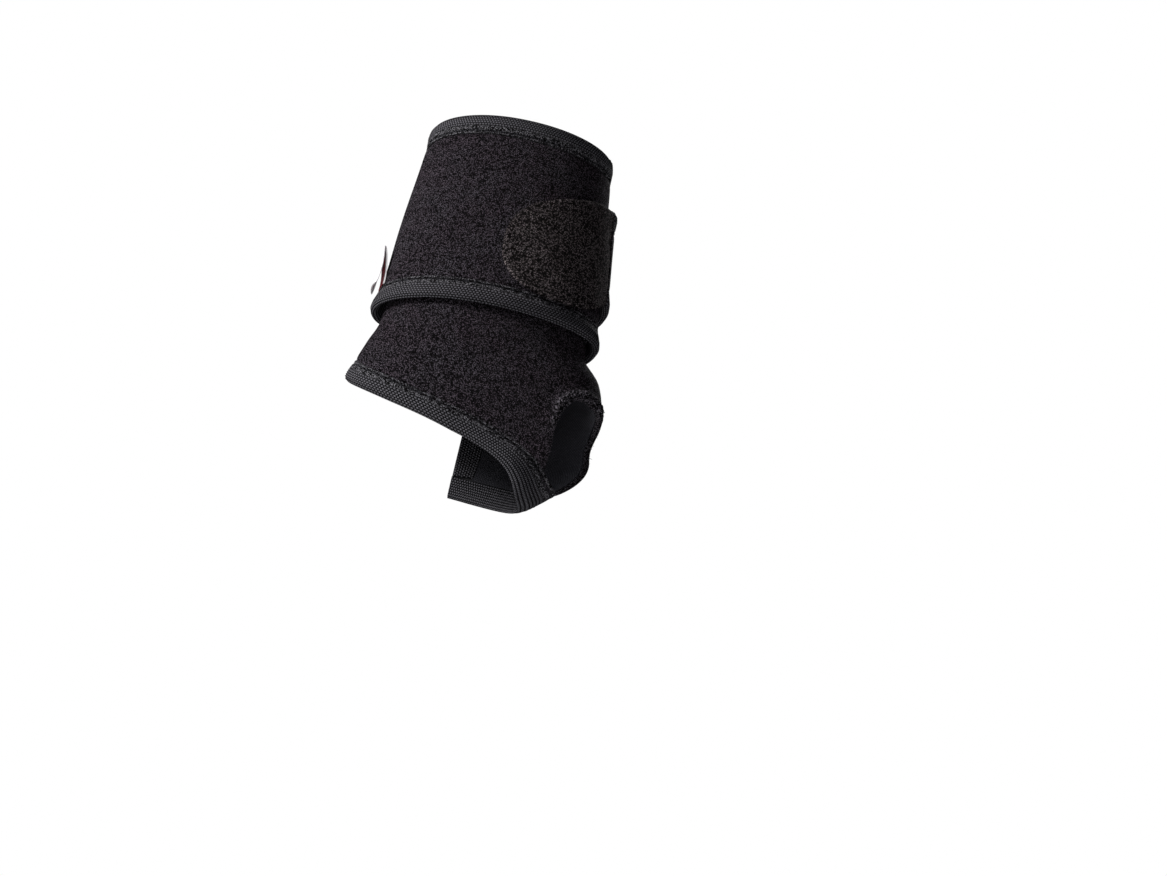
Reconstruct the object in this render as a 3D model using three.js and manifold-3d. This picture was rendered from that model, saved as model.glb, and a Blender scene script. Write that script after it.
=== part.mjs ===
import * as THREE from 'three';
import { LoftGeometry } from 'three/addons/geometries/LoftGeometry.js';
import { mergeVertices } from 'three/addons/utils/BufferGeometryUtils.js';
import Module from 'manifold-3d';

// Right-hand wrap-around wrist support in its worn, wound-up shape. Millimetres, degrees.
// Z runs up the forearm to the elbow, X to the thumb side, -Y out of the back of the hand,
// and Z = 0 lies at the wrist crease. A place on the strip is (turn, z, depth): turn is the
// winding angle from the thumb side over the back of the hand, depth is counted out of the skin.

const wasm = await Module();
wasm.setup();

// The strip and its bonded plies.
const stripWidth = 80;
const liningThickness = 0.6;
const foamThickness = 1.2;
const pileThickness = 0.6;
const plyGap = 0.32;
const turnClearance = 0.4;

// Folded elastic binding tape on every cut edge.
const tapeWidth = 9.5;
const tapeThickness = 0.5;
const tapeRounding = 0.9;
const tapeSeamGap = 0.5;

// Where the strip starts, turns and ends, as winding angles.
const startTurn = -90;
const gauntletEndTurn = 330;
const dorsalEndTurn = 505;
const strapHingeTurn = 655;
const strapEndTurn = 728;
const levelTurn = 372;
const taperTurn = 555;
const taperEase = 10;
const segmentGap = 0.3;

// Limb sizes at the top of the support, and what the wrist gains towards the hand.
const cuffUlnar = 26.4;
const cuffRadial = 30;
const cuffDorsal = 19.5;
const cuffPalmar = 19.5;
const cuffHeight = 63;
const wristUlnarGain = 6.1;
const wristRadialGain = 8.5;
const wristPalmarGain = 0.5;

// Thumb hole: its upper edge leans down towards the palm.
const thumbHoleHeight = 35;
const thumbHoleBelowCuff = 26.5;
const thumbHoleDorsal = 13.4;
const thumbHolePalmar = 7;
const thumbHoleTaper = 0.2;
const thumbHoleLean = 7;
const thumbHoleSquareness = 0.66;
const thumbHoleFacets = 32;

// Tapered strap and hook tab.
const strapEndWidth = 41;
const strapEndRise = -2;
const tabLength = 52;
const tabWidth = 46;
const tabDrop = 11;
const tabRootShare = 0.86;
const tabWidestAt = 0.4;
const tabEndSharpness = 1.6;
const tabTipShare = 0.985;
const tabColumns = 9;
const hookThickness = 1.0;
const tabBackThickness = 1.2;
const hookInset = 2.5;
const tabRoundness = 2.4;

// Side label folded into the seam of the lower binding.
const labelTurn = 533;
const labelWidth = 11;
const labelHeight = 15;
const labelThickness = 0.5;
const labelLean = 4;
const labelSpread = 2.1;

// Facets.
const turnStep = 6;
const slopeSpan = 2;
const rowSpacing = 10;
const rowsOnCuff = 1;

const rowsOnHand = Math.round(stripWidth / rowSpacing);
const laminateThickness = liningThickness + foamThickness + pileThickness + 2 * plyGap;
const foamInner = liningThickness + plyGap;
const foamOuter = foamInner + foamThickness;
const pileInner = foamOuter + plyGap;
const woundPitch = laminateThickness + turnClearance;
const cuffBottom = cuffHeight - stripWidth;
const thumbHoleTop = cuffBottom - thumbHoleBelowCuff;
const tapeFold = tapeThickness + 2 * plyGap;
const foamInset = tapeFold + plyGap;
const plyInset = tapeWidth + tapeSeamGap;
const toRadians = Math.PI / 180;

// Limb half-breadths by height: a straight cone along the wrist, then thumb root, palm and web.
const wristUlnar = cuffUlnar + wristUlnarGain;
const wristRadial = cuffRadial + wristRadialGain;
const wristPalmar = cuffPalmar + wristPalmarGain;
const coneBottom = cuffBottom - 4;
const limb = [
  { z: cuffBottom - 69, ulnar: wristUlnar + 9.8, radial: wristRadial - 11.5, dorsal: 13.5, palmar: 15 },
  { z: cuffBottom - 49, ulnar: wristUlnar + 9.5, radial: wristRadial + 11, dorsal: 15, palmar: 17 },
  { z: cuffBottom - 32, ulnar: wristUlnar + 8.6, radial: wristRadial + 11, dorsal: 16.5, palmar: 19 },
  { z: cuffBottom - 14, ulnar: wristUlnar + 3.2, radial: wristRadial + 7.5, dorsal: 18.6, palmar: 20 },
  { z: coneBottom, ulnar: wristUlnar, radial: wristRadial, dorsal: cuffDorsal, palmar: wristPalmar },
  { z: cuffHeight, ulnar: cuffUlnar, radial: cuffRadial, dorsal: cuffDorsal, palmar: cuffPalmar },
];

// Lower edge of the strip by winding angle: low at the thumb web, level from the wrist on.
const lowerEdge = [
  { at: startTurn, z: cuffBottom - 63 },
  { at: 0, z: cuffBottom - 69 },
  { at: 30, z: cuffBottom - 67 },
  { at: 84, z: cuffBottom - 51 },
  { at: 129, z: cuffBottom - 40 },
  { at: 180, z: cuffBottom - 29 },
  { at: 265, z: cuffBottom - 13 },
  { at: gauntletEndTurn, z: cuffBottom - 3 },
  { at: levelTurn, z: cuffBottom },
];

// Value of a smooth curve through rows sorted by `key`, straight beyond the last two rows.
function through(rows, key, field, x) {
  const last = rows.length - 2;
  const found = rows.findIndex((row) => row[key] > x) - 1;
  const index = found === -2 ? last : Math.max(0, found);
  const slopeOf = (i) => (rows[i + 1][field] - rows[i][field]) / (rows[i + 1][key] - rows[i][key]);
  const slopeAt = (i) => {
    if (i === 0) return slopeOf(0);
    return i > last - 1 ? slopeOf(last) : (slopeOf(i - 1) + slopeOf(i)) / 2;
  };
  const span = rows[index + 1][key] - rows[index][key];
  const t = (x - rows[index][key]) / span;
  if (t < 0 || t > 1) return rows[index][field] + slopeOf(index) * t * span;
  const rise = t * t * (3 - 2 * t);
  const easeIn = t * (1 - t) * (1 - t) * span * slopeAt(index);
  const easeOut = t * t * (t - 1) * span * slopeAt(index + 1);
  return rows[index][field] * (1 - rise) + rows[index + 1][field] * rise + easeIn + easeOut;
}

const limbAt = (field, z) => through(limb, 'z', field, z);

// Point in space of a place on the wound strip.
function place(turn, z, depth) {
  const out = depth + woundPitch * (turn - startTurn) / 360;
  const across = Math.cos(turn * toRadians);
  const back = Math.sin(turn * toRadians);
  const breadth = limbAt(across > 0 ? 'radial' : 'ulnar', z) + out;
  const girth = limbAt(back > 0 ? 'dorsal' : 'palmar', z) + out;
  return new THREE.Vector3(breadth * across, -girth * back, z);
}

// Lengths along the strip turned into winding angle, at the mid-height of the strip there.
function turnPerLength(turn, z) {
  const chord = place(turn + 0.5, z, 0).distanceTo(place(turn - 0.5, z, 0));
  return 1 / chord;
}

const startTurnPerLength = turnPerLength(startTurn, lowerEdge[0].z + stripWidth / 2);

// Height of the strip's lower edge before the strap tapers.
function lowerEdgeAt(turn) {
  return turn < levelTurn ? through(lowerEdge, 'at', 'z', turn) : cuffBottom;
}

// Lower and upper edge of the strip, its upper edge a strip width away square to the slope,
// and both edges closing in on the strap end past the ulnar side of the cuff.
function stripEdges(turn) {
  const low = lowerEdgeAt(turn);
  const climb = lowerEdgeAt(turn + slopeSpan) - lowerEdgeAt(turn - slopeSpan);
  const run = 2 * slopeSpan / turnPerLength(turn, low + stripWidth / 2);
  const slope = Math.hypot(climb, run) / run;
  const eased = THREE.MathUtils.smoothstep(turn, taperTurn - taperEase, taperTurn + taperEase);
  const closing = Math.max(0, eased * (turn - taperTurn) / (strapEndTurn - taperTurn));
  const width = THREE.MathUtils.lerp(stripWidth * slope, strapEndWidth, closing);
  const middle = low + stripWidth * slope / 2 + strapEndRise * closing;
  return { low: middle - width / 2, high: middle + width / 2 };
}

function centreOf(points) {
  return points.reduce((sum, point) => sum.add(point), new THREE.Vector3()).divideScalar(points.length);
}

// A closed solid through a row of outlines, turned so that its walls face outwards.
function loft(sections) {
  const [outline, next] = sections;
  const middle = centreOf(outline);
  const spread = outline.map((point) => point.clone().sub(middle));
  const normal = spread.reduce((sum, point, i) => (
    sum.add(new THREE.Vector3().crossVectors(point, spread[(i + 1) % spread.length]))
  ), new THREE.Vector3());
  const forward = normal.dot(centreOf(next).sub(middle)) > 0;
  const ordered = forward ? sections : sections.map((points) => [...points].reverse());
  return new LoftGeometry(ordered, { capStart: true, capEnd: true });
}

// The winding angles of a segment's sections, with both ends included.
function turnsBetween(from, to) {
  const count = Math.max(2, Math.round((to - from) / turnStep));
  return Array.from({ length: count + 1 }, (_, i) => from + (to - from) * i / count);
}

// Heights of the rows that the plies share at a winding angle, and the foam's own outer rows.
function plyHeights(turn, rows) {
  const { low, high } = stripEdges(turn);
  return Array.from({ length: rows + 1 }, (_, i) => (
    THREE.MathUtils.lerp(low + plyInset, high - plyInset, i / rows)
  ));
}

function foamHeights(turn, rows) {
  const { low, high } = stripEdges(turn);
  const shared = rows > 1 ? plyHeights(turn, rows) : [];
  return [low + foamInset, ...shared, high - foamInset];
}

// A ply: a slab between two depths, through the given rows at each winding angle.
function plyGeometry(turns, heightsAt, inner, outer) {
  return loft(turns.map((turn) => {
    const heights = heightsAt(turn);
    const face = heights.map((z) => place(turn, z, outer));
    const back = heights.map((z) => place(turn, z, inner)).reverse();
    return [...face, ...back];
  }));
}

// Section of the folded tape: a U round the foam's edge, as [reach in from the edge, depth].
const tapeProfile = [
  [tapeWidth, laminateThickness],
  [tapeRounding, laminateThickness],
  [0, laminateThickness - tapeRounding],
  [0, tapeRounding],
  [tapeRounding, 0],
  [tapeWidth, 0],
  [tapeWidth, tapeThickness],
  [tapeFold, tapeThickness],
  [tapeFold, laminateThickness - tapeThickness],
  [tapeWidth, laminateThickness - tapeThickness],
];

// Binding along the lower edge (side 1) or the upper edge (side -1) of a segment.
function edgeTapeGeometry(turns, side) {
  return loft(turns.map((turn) => {
    const { low, high } = stripEdges(turn);
    const edge = side > 0 ? low : high;
    return tapeProfile.map(([reach, depth]) => place(turn, edge + side * reach, depth));
  }));
}

// Binding across the strip's first end, between the two edge bindings.
function startTapeGeometry() {
  const rows = Array.from({ length: rowsOnHand + 1 }, (_, i) => i);
  return loft(rows.map((row) => tapeProfile.map(([reach, depth]) => {
    const turn = startTurn + reach * startTurnPerLength;
    return place(turn, plyHeights(turn, rowsOnHand)[row], depth);
  })));
}

// The thumb hole's cutter, run out sideways through the strip: a squared ellipse, looked at
// from the thumb side, narrower at its foot, whose upper half is sheared down towards the palm.
function thumbHoleGeometry() {
  const halfWidth = (thumbHoleDorsal + thumbHolePalmar) / 2;
  const centre = (thumbHolePalmar - thumbHoleDorsal) / 2;
  const halfHeight = thumbHoleHeight / 2;
  const middle = thumbHoleTop - halfHeight;
  const squared = (x) => Math.sign(x) * Math.abs(x) ** thumbHoleSquareness;
  const points = Array.from({ length: thumbHoleFacets }, (_, i) => {
    const angle = 2 * Math.PI * i / thumbHoleFacets;
    const side = squared(Math.cos(angle));
    const rise = squared(Math.sin(angle));
    const lean = rise > 0 ? thumbHoleLean * side : 0;
    const across = halfWidth * (1 + thumbHoleTaper * rise);
    return new THREE.Vector2(centre + across * side, middle + rise * (halfHeight - lean));
  });
  const options = { depth: 2 * wristRadial, bevelEnabled: false };
  const geometry = new THREE.ExtrudeGeometry(new THREE.Shape(points), options);
  const basis = new THREE.Matrix4().makeBasis(
    new THREE.Vector3(0, 1, 0),
    new THREE.Vector3(0, 0, 1),
    new THREE.Vector3(1, 0, 0),
  );
  return geometry.applyMatrix4(basis).translate(wristRadial / 2, 0, 0);
}

function toSolid(geometry) {
  const bare = new THREE.BufferGeometry();
  bare.setAttribute('position', geometry.attributes.position);
  bare.setIndex(geometry.index);
  const merged = mergeVertices(bare, 1e-4);
  return new wasm.Manifold(new wasm.Mesh({
    numProp: 3,
    vertProperties: new Float32Array(merged.attributes.position.array),
    triVerts: new Uint32Array(merged.index.array),
  }));
}

function fromSolid(solid) {
  const mesh = solid.getMesh();
  const geometry = new THREE.BufferGeometry();
  geometry.setAttribute('position', new THREE.BufferAttribute(new Float32Array(mesh.vertProperties), 3));
  geometry.setIndex(new THREE.BufferAttribute(new Uint32Array(mesh.triVerts), 1));
  geometry.computeVertexNormals();
  return geometry;
}

const thumbHole = toSolid(thumbHoleGeometry());
const withThumbHole = (geometry) => fromSolid(toSolid(geometry).subtract(thumbHole));

// A layer of the hook tab: an outline with a rounded free end, laid sloping down the cuff.
function tabGeometry(inset, inner, outer) {
  const { low, high } = stripEdges(strapEndTurn);
  const rootMiddle = (low + high) / 2;
  const middleTurn = strapEndTurn + tabLength / 2 * turnPerLength(strapEndTurn, rootMiddle);
  const perLength = turnPerLength(middleTurn, rootMiddle);
  const sections = Array.from({ length: tabColumns + 1 }, (_, i) => {
    const along = Math.sin(i / tabColumns * Math.PI / 2) * tabTipShare;
    const narrowing = (1 - along ** (tabRoundness * tabEndSharpness)) ** (1 / tabRoundness);
    const opening = Math.sin(Math.min(1, along / tabWidestAt) * Math.PI / 2);
    const widening = THREE.MathUtils.lerp(tabRootShare, 1, opening);
    const half = (tabWidth / 2 * widening - inset) * narrowing;
    const middle = rootMiddle - tabDrop * Math.sin(along * Math.PI / 2);
    const turn = strapEndTurn + (segmentGap + (tabLength - inset) * along) * perLength;
    return [
      place(turn, middle - half, outer),
      place(turn, middle + half, outer),
      place(turn, middle + half, inner),
      place(turn, middle - half, inner),
    ];
  });
  return loft(sections);
}

// The label: a folded tape standing out of the seam, its two leaves parting towards the fold's base.
function labelGeometry() {
  const { low } = stripEdges(labelTurn);
  const seam = low + tapeWidth + plyGap / 2;
  const perLength = turnPerLength(labelTurn, seam);
  const halfTurn = labelWidth / 2 * perLength;
  const sections = turnsBetween(labelTurn - halfTurn, labelTurn + halfTurn).map((turn) => {
    const base = laminateThickness + plyGap;
    const tip = base + labelLean;
    return [
      place(turn, seam, base),
      place(turn, seam + labelHeight, tip),
      place(turn, seam + labelHeight, tip + labelThickness),
      place(turn, seam + labelThickness, base + labelThickness + labelSpread),
      place(turn, seam, base + labelSpread),
      place(turn, seam + labelThickness, base + labelThickness),
    ];
  });
  return loft(sections);
}

const pile = { color: 0x1d1b20, roughness: 0.96, metalness: 0 };
const foam = { color: 0x2a2a2c, roughness: 0.9, metalness: 0 };
const jersey = { color: 0x222226, roughness: 0.85, metalness: 0 };
const tape = { color: 0x141416, roughness: 0.75, metalness: 0 };
const hook = { color: 0x1a1816, roughness: 0.7, metalness: 0 };
const felt = { color: 0x27231f, roughness: 0.97, metalness: 0 };
const woven = { color: 0x9c1f2c, roughness: 0.6, metalness: 0 };

const support = new THREE.Group();

function addPiece(name, geometry, look) {
  const mesh = new THREE.Mesh(geometry, new THREE.MeshStandardMaterial(look));
  mesh.name = name;
  support.add(mesh);
}

// Half a segment gap, as winding angle, is left free at every hinge line.
const gapTurn = (turn) => segmentGap / 2 * turnPerLength(turn, cuffBottom + stripWidth / 2);

const segments = [
  { name: 'gauntlet', from: startTurn, to: gauntletEndTurn, rows: rowsOnHand },
  { name: 'dorsal_wrap', from: gauntletEndTurn, to: dorsalEndTurn, rows: rowsOnCuff },
  { name: 'palmar_wrap', from: dorsalEndTurn, to: strapHingeTurn, rows: rowsOnCuff },
  { name: 'strap_end', from: strapHingeTurn, to: strapEndTurn, rows: rowsOnCuff },
];

for (const { name, from, to, rows } of segments) {
  const isFirst = from === startTurn;
  const plyFrom = isFirst ? from + plyInset * startTurnPerLength : from + gapTurn(from);
  const turns = turnsBetween(plyFrom, to - gapTurn(to));
  const foamTurns = isFirst ? [from + foamInset * startTurnPerLength, ...turns] : turns;
  const tapeTurns = isFirst ? [from, ...turns] : turns;
  const plyRows = (turn) => plyHeights(turn, rows);
  const foamRows = (turn) => foamHeights(turn, rows);
  const cut = isFirst ? withThumbHole : (geometry) => geometry;
  addPiece(`${name}_lining`, cut(plyGeometry(turns, plyRows, 0, liningThickness)), jersey);
  addPiece(`${name}_foam`, cut(plyGeometry(foamTurns, foamRows, foamInner, foamOuter)), foam);
  addPiece(`${name}_pile`, cut(plyGeometry(turns, plyRows, pileInner, laminateThickness)), pile);
  addPiece(`${name}_lower_binding`, edgeTapeGeometry(tapeTurns, 1), tape);
  addPiece(`${name}_upper_binding`, edgeTapeGeometry(tapeTurns, -1), tape);
}

addPiece('start_end_binding', startTapeGeometry(), tape);
addPiece('tab_hook_patch', tabGeometry(hookInset, 0, hookThickness), hook);
const tabBackInner = hookThickness + plyGap;
addPiece('tab_felt_back', tabGeometry(0, tabBackInner, tabBackInner + tabBackThickness), felt);
addPiece('side_label', labelGeometry(), woven);

export default support;
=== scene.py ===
# Wrap-around wrist support, wound as worn: a strip of foam laminate with a thumb hole,
# bound in ribbed tape and held by a felt-backed hook tab. Shapes are worked out in mm.
import math

import bpy
import numpy as np
from mathutils import Matrix, Vector


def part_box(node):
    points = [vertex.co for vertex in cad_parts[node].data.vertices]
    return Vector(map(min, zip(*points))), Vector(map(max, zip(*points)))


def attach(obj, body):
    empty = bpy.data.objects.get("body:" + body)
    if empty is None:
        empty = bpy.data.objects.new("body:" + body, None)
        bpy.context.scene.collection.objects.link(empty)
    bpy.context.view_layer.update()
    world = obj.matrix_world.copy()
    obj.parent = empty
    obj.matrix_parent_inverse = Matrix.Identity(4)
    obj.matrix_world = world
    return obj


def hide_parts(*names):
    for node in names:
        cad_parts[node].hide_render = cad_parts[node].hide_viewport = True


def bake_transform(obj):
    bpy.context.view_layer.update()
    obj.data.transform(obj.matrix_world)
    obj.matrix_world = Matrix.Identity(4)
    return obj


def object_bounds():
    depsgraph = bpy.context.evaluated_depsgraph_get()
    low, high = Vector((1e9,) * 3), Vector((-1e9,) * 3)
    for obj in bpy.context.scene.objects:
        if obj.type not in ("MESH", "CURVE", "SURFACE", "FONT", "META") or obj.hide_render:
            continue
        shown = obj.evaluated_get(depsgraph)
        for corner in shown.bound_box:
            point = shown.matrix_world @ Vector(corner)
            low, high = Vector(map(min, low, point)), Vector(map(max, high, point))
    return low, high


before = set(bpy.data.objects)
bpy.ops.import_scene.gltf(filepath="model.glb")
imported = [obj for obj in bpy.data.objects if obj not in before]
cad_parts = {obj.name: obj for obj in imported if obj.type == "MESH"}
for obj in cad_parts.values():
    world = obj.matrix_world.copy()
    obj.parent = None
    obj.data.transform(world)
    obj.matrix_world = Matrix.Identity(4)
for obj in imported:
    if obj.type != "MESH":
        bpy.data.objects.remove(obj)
packedLow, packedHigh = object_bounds()

mm = 0.001
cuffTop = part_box("palmar_wrap_upper_binding")[1].z / mm

# strip: sizes in mm, places along it as winding angles in degrees
strip = {
    "width": 80,
    "thickness": 3.04,
    "windPitch": 3.44,  # thickness and clearance gained per full turn
    "startTurn": -90,
    "levelTurn": 372,  # the lower edge runs level from here
    "taperTurn": 555,
    "taperEase": 10,
    "endTurn": 728,
    "endWidth": 41,
    "endRise": -2,
}
cuffBottom = cuffTop - strip["width"]

# half-breadths of the limb, from the knuckles up to the forearm
limb = {
    "height": cuffBottom + np.array([-69, -49, -32, -14, -4, 80]),
    "ulnar": np.array([42.3, 42, 41.1, 35.7, 32.5, 26.4]),
    "radial": np.array([27, 49.5, 49.5, 46, 38.5, 30]),
    "dorsal": np.array([13.5, 15, 16.5, 18.6, 19.5, 19.5]),
    "palmar": np.array([15, 17, 19, 20, 20, 19.5]),
}

# height of the strip's lower edge along its first turn
lowerEdge = {
    "turn": np.array([-90, 0, 30, 84, 129, 180, 265, 330, 372]),
    "height": cuffBottom + np.array([-63, -69, -67, -51, -40, -29, -13, -3, 0]),
}

# where the wound turns stand off the limb and where they are lumpy, in mm
swelling = {
    "flare": 2.0,  # lower edge of the second turn, most at the two sides of the wrist
    "flareAllRound": 0.35,  # share of it at the back and the palm
    "flareFrom": 335,  # the first turn ends and the flare begins
    "flareTo": 375,
    "flareHeight": 22,
    "lump": 0.3,
    "lumpHeights": (13, 9),  # height in a radian of each wave
    "crease": 0.55,
    "creaseHeight": 4.5,
    "creasesEnd": (-12, 6),  # about the cuff's lower edge
}


def smooth(low, high, x):  # 3t^2 - 2t^3 between low and high
    t = np.clip((x - low) / (high - low), 0, 1)
    return t * t * (3 - 2 * t)


# Cubic through the rows: each slope is the mean of its two sides, the last span is straight,
# and the curve runs on straight past both ends.
def through(at, values, x):
    side = np.diff(values) / np.diff(at)
    slope = np.concatenate([side[:1], (side[1:-1] + side[:-2]) / 2, side[-1:], side[-1:]])
    i = np.clip(np.searchsorted(at, x, side="right") - 1, 0, len(at) - 2)
    span = at[i + 1] - at[i]
    t = np.clip((x - at[i]) / span, 0, 1)
    rise = t * t * (3 - 2 * t)
    ease = t * (1 - t) ** 2 * slope[i] + t * t * (t - 1) * slope[i + 1]
    past = x - np.clip(x, at[0], at[-1])
    curve = values[i] * (1 - rise) + values[i + 1] * rise + span * ease
    return curve + past * np.where(past < 0, side[0], side[-1])


# Outward swell: a flare towards the lower edge that is strongest at the two sides,
# soft lumps that repeat every turn, so turns stay stacked, and slanting creases on the hand.
def swell(turn, height):
    angle = np.radians(turn)
    sides = swelling["flareAllRound"] + (1 - swelling["flareAllRound"]) * np.cos(angle) ** 4
    rim = np.clip((cuffBottom + swelling["flareHeight"] - height) / swelling["flareHeight"], 0, 1)
    second = smooth(swelling["flareFrom"], swelling["flareTo"], turn)
    flare = swelling["flare"] * sides * rim ** 2 * second
    tall, short = swelling["lumpHeights"]
    lump = np.sin(2 * angle + height / tall) + np.sin(3 * angle - height / short + 1)
    fadeFrom, fadeTo = swelling["creasesEnd"]
    onHand = 1 - smooth(cuffBottom + fadeFrom, cuffBottom + fadeTo, height)
    crease = np.sin(5 * angle + height / swelling["creaseHeight"]) * np.clip(np.sin(angle), 0, 1)
    crease = crease * onHand * (turn < swelling["flareFrom"])
    return flare + (swelling["lump"] * lump + swelling["crease"] * crease) / 2


# Ellipse quarters whose half-axes are the limb's, widened by the given amount.
def aroundLimb(turn, height, out):
    angle = np.radians(turn)
    across, back = np.cos(angle), np.sin(angle)
    radial, ulnar, dorsal, palmar = (
        through(limb["height"], limb[side], height) for side in ("radial", "ulnar", "dorsal", "palmar"))
    breadth = np.where(across > 0, radial, ulnar) + out
    girth = np.where(back > 0, dorsal, palmar) + out
    return np.stack([breadth * across, -girth * back, height + 0 * angle], -1)


def wound(turn):  # how far the winding has carried the strip out of the skin
    return strip["windPitch"] * (turn - strip["startTurn"]) / 360


def onStrip(turn, height, depth):  # point at a depth counted out of the strip's skin side
    turn, height, depth = np.broadcast_arrays(turn, height, depth)
    return aroundLimb(turn, height, depth + wound(turn) + swell(turn, height))


def lowerEdgeAt(turn):
    sloping = through(lowerEdge["turn"], lowerEdge["height"], turn)
    return np.where(turn < strip["levelTurn"], sloping, cuffBottom)


def degreesPerMm(turn, height):
    ahead = aroundLimb(turn + 0.5, height, wound(turn + 0.5))
    return 1 / np.linalg.norm(ahead - aroundLimb(turn - 0.5, height, wound(turn - 0.5)), axis=-1)


slopeHalf = 2  # degrees each way over which the edge's slope is taken


# Lower and upper edge: a strip width apart square to the slope, closing in towards the strap's end.
def stripEdges(turn):
    low = lowerEdgeAt(turn)
    climb = lowerEdgeAt(turn + slopeHalf) - lowerEdgeAt(turn - slopeHalf)
    run = 2 * slopeHalf / degreesPerMm(turn, low + strip["width"] / 2)
    width = strip["width"] * np.hypot(climb, run) / run
    ease = strip["taperEase"]
    eased = smooth(strip["taperTurn"] - ease, strip["taperTurn"] + ease, turn)
    share = (turn - strip["taperTurn"]) / (strip["endTurn"] - strip["taperTurn"])
    closing = np.maximum(0, eased * share)
    middle = low + width / 2 + strip["endRise"] * closing
    width = width + (strip["endWidth"] - width) * closing
    return middle - width / 2, middle + width / 2


tabTurns = 90.0  # degrees that the tab may reach past the strap's end
allTurns = np.arange(strip["startTurn"], strip["endTurn"] + tabTurns)
halfWay = lowerEdgeAt(allTurns) + strip["width"] / 2
lengths = np.cumsum(1 / degreesPerMm(allTurns, halfWay))


def lengthAt(turn):  # mm of strip wound up to there
    return np.interp(turn, allTurns, lengths)


def turnAt(length):
    return np.interp(length, lengths, allTurns)


# the four lengths of strip, the bodies listed for each and the turn of its hinge line
splits = [strip["startTurn"], 290, 417, 580, strip["endTurn"]]
segments = [
    {"name": "gauntlet", "bodies": ["gauntlet"]},
    {"name": "dorsal_wrap", "bodies": ["gauntlet", "dorsal_wrap"], "hinge": 330},
    {"name": "palmar_wrap", "bodies": ["dorsal_wrap", "palmar_wrap"], "hinge": 505},
    {"name": "strap_end", "bodies": ["palmar_wrap", "strap_end"], "hinge": 655},
]
for segment, start, end in zip(segments, splits, splits[1:]):
    segment.update({"from": start, "to": end})
tabSegment = {"bodies": ["strap_end", "hook_tab"], "hinge": strip["endTurn"]}


# A piece with no hinge is attached to its first body; with a hinge, the strip's direction through the hinge
# line is taken but not used, and the piece only has its transform baked into its mesh.
def follow(piece, segment):
    if "hinge" not in segment:
        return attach(piece, segment["bodies"][0])
    ahead = onStrip(segment["hinge"] + 1.0, 0.0, 0.0) - onStrip(segment["hinge"] - 1.0, 0.0, 0.0)
    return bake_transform(piece)


def unit(vectors):
    return vectors / np.linalg.norm(vectors, axis=-1, keepdims=True)


def outwardAt(turn, height):  # a millimetre straight out of the strip's face
    return onStrip(turn, height, 4.0) - onStrip(turn, height, 3.0)


# Mesh from points in mm and quads, with a flat map in metres of strip length and height.
def meshPiece(name, points, quads, flatMap, material, sharpAngle=50):
    mesh = bpy.data.meshes.new(name)
    mesh.from_pydata((points * mm).tolist(), [], quads.tolist())
    loopVertices = np.zeros(len(mesh.loops), np.int32)
    mesh.loops.foreach_get("vertex_index", loopVertices)
    mesh.uv_layers.new(name="stripMap").data.foreach_set("uv", (flatMap * mm)[loopVertices].ravel())
    mesh.polygons.foreach_set("use_smooth", np.ones(len(quads), bool))
    mesh.materials.append(material)
    mesh.update()
    if signedVolume(points, quads) < 0:
        mesh.flip_normals()
    mesh.set_sharp_from_angle(angle=math.radians(sharpAngle))
    piece = bpy.data.objects.new(name, mesh)
    bpy.context.scene.collection.objects.link(piece)
    return piece


def signedVolume(points, quads):  # sum of the tetrahedra from the origin to each half quad
    a, b, c, d = (points[quads[:, i]] for i in range(4))
    return np.einsum("ij,ij->i", a, np.cross(b, c) + np.cross(c, d)).sum()


def gridQuads(ids):
    corners = [ids[:-1, :-1], ids[1:, :-1], ids[1:, 1:], ids[:-1, 1:]]
    return np.stack(corners, -1).reshape(-1, 4)


# One set of quads over several grids of (turn, height): corners equal to four places are one vertex.
def joinGrids(grids):
    flat = np.concatenate([grid.reshape(-1, 2) for grid in grids])
    places, number = np.unique(np.round(flat, 4), axis=0, return_inverse=True)
    number = number.reshape(-1)
    quads, first = [], 0
    for grid in grids:
        rows, columns = grid.shape[:2]
        quads.append(gridQuads(number[first:first + rows * columns].reshape(rows, columns)))
        first += rows * columns
    return places, np.concatenate(quads)


# A second copy of the surface closes a sheet into a shell: border edges, which only one quad
# uses, are joined to their copies.
def closeShell(quads, count):
    edges = np.concatenate([quads[:, [i, (i + 1) % 4]] for i in range(4)])
    _, index, uses = np.unique(np.sort(edges, 1), axis=0, return_index=True, return_counts=True)
    border = edges[index[uses == 1]]
    wall = np.stack([border[:, 1], border[:, 0], border[:, 0] + count, border[:, 1] + count], -1)
    return np.concatenate([quads, quads[:, ::-1] + count, wall])


# Closed shell between two matching grids of points, which share one flat map.
def shellPiece(name, outside, inside, flat, material, sharpAngle=50):
    ids = np.arange(outside[..., 0].size).reshape(outside.shape[:2])
    points = np.concatenate([outside.reshape(-1, 3), inside.reshape(-1, 3)])
    flatMap = np.concatenate([flat.reshape(-1, 2)] * 2)
    return meshPiece(name, points, closeShell(gridQuads(ids), ids.size), flatMap, material, sharpAngle)


thumbHole = {
    "height": 35,
    "top": cuffBottom - 26.5,
    "dorsal": 13.4,
    "palmar": 7,
    "taper": 0.2,
    "lean": 7,
    "squareness": 0.66,
    "patchFrom": -62,  # turns between which the strip's grid runs round the hole
    "patchTo": 62,
    "patchStations": 72,
    "rings": 26,  # of the grid round the hole, crowded near its edge
    "crowding": 1.6,
    "rimLift": 2.2,
    "rimReach": 2.6,
    "rawLift": 0.1,  # share of the lift at the raw sides
    "waver": 0.25,
    "rollHeights": (20, 5),  # below the top, between which the edge starts to roll out
    "rollTurns": (-6, 20),  # between which the roll grows from the palm to the back
    "palmLift": 0.1,  # share of the roll left where the edge reaches the palm
}
fineOutline = 1441


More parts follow.
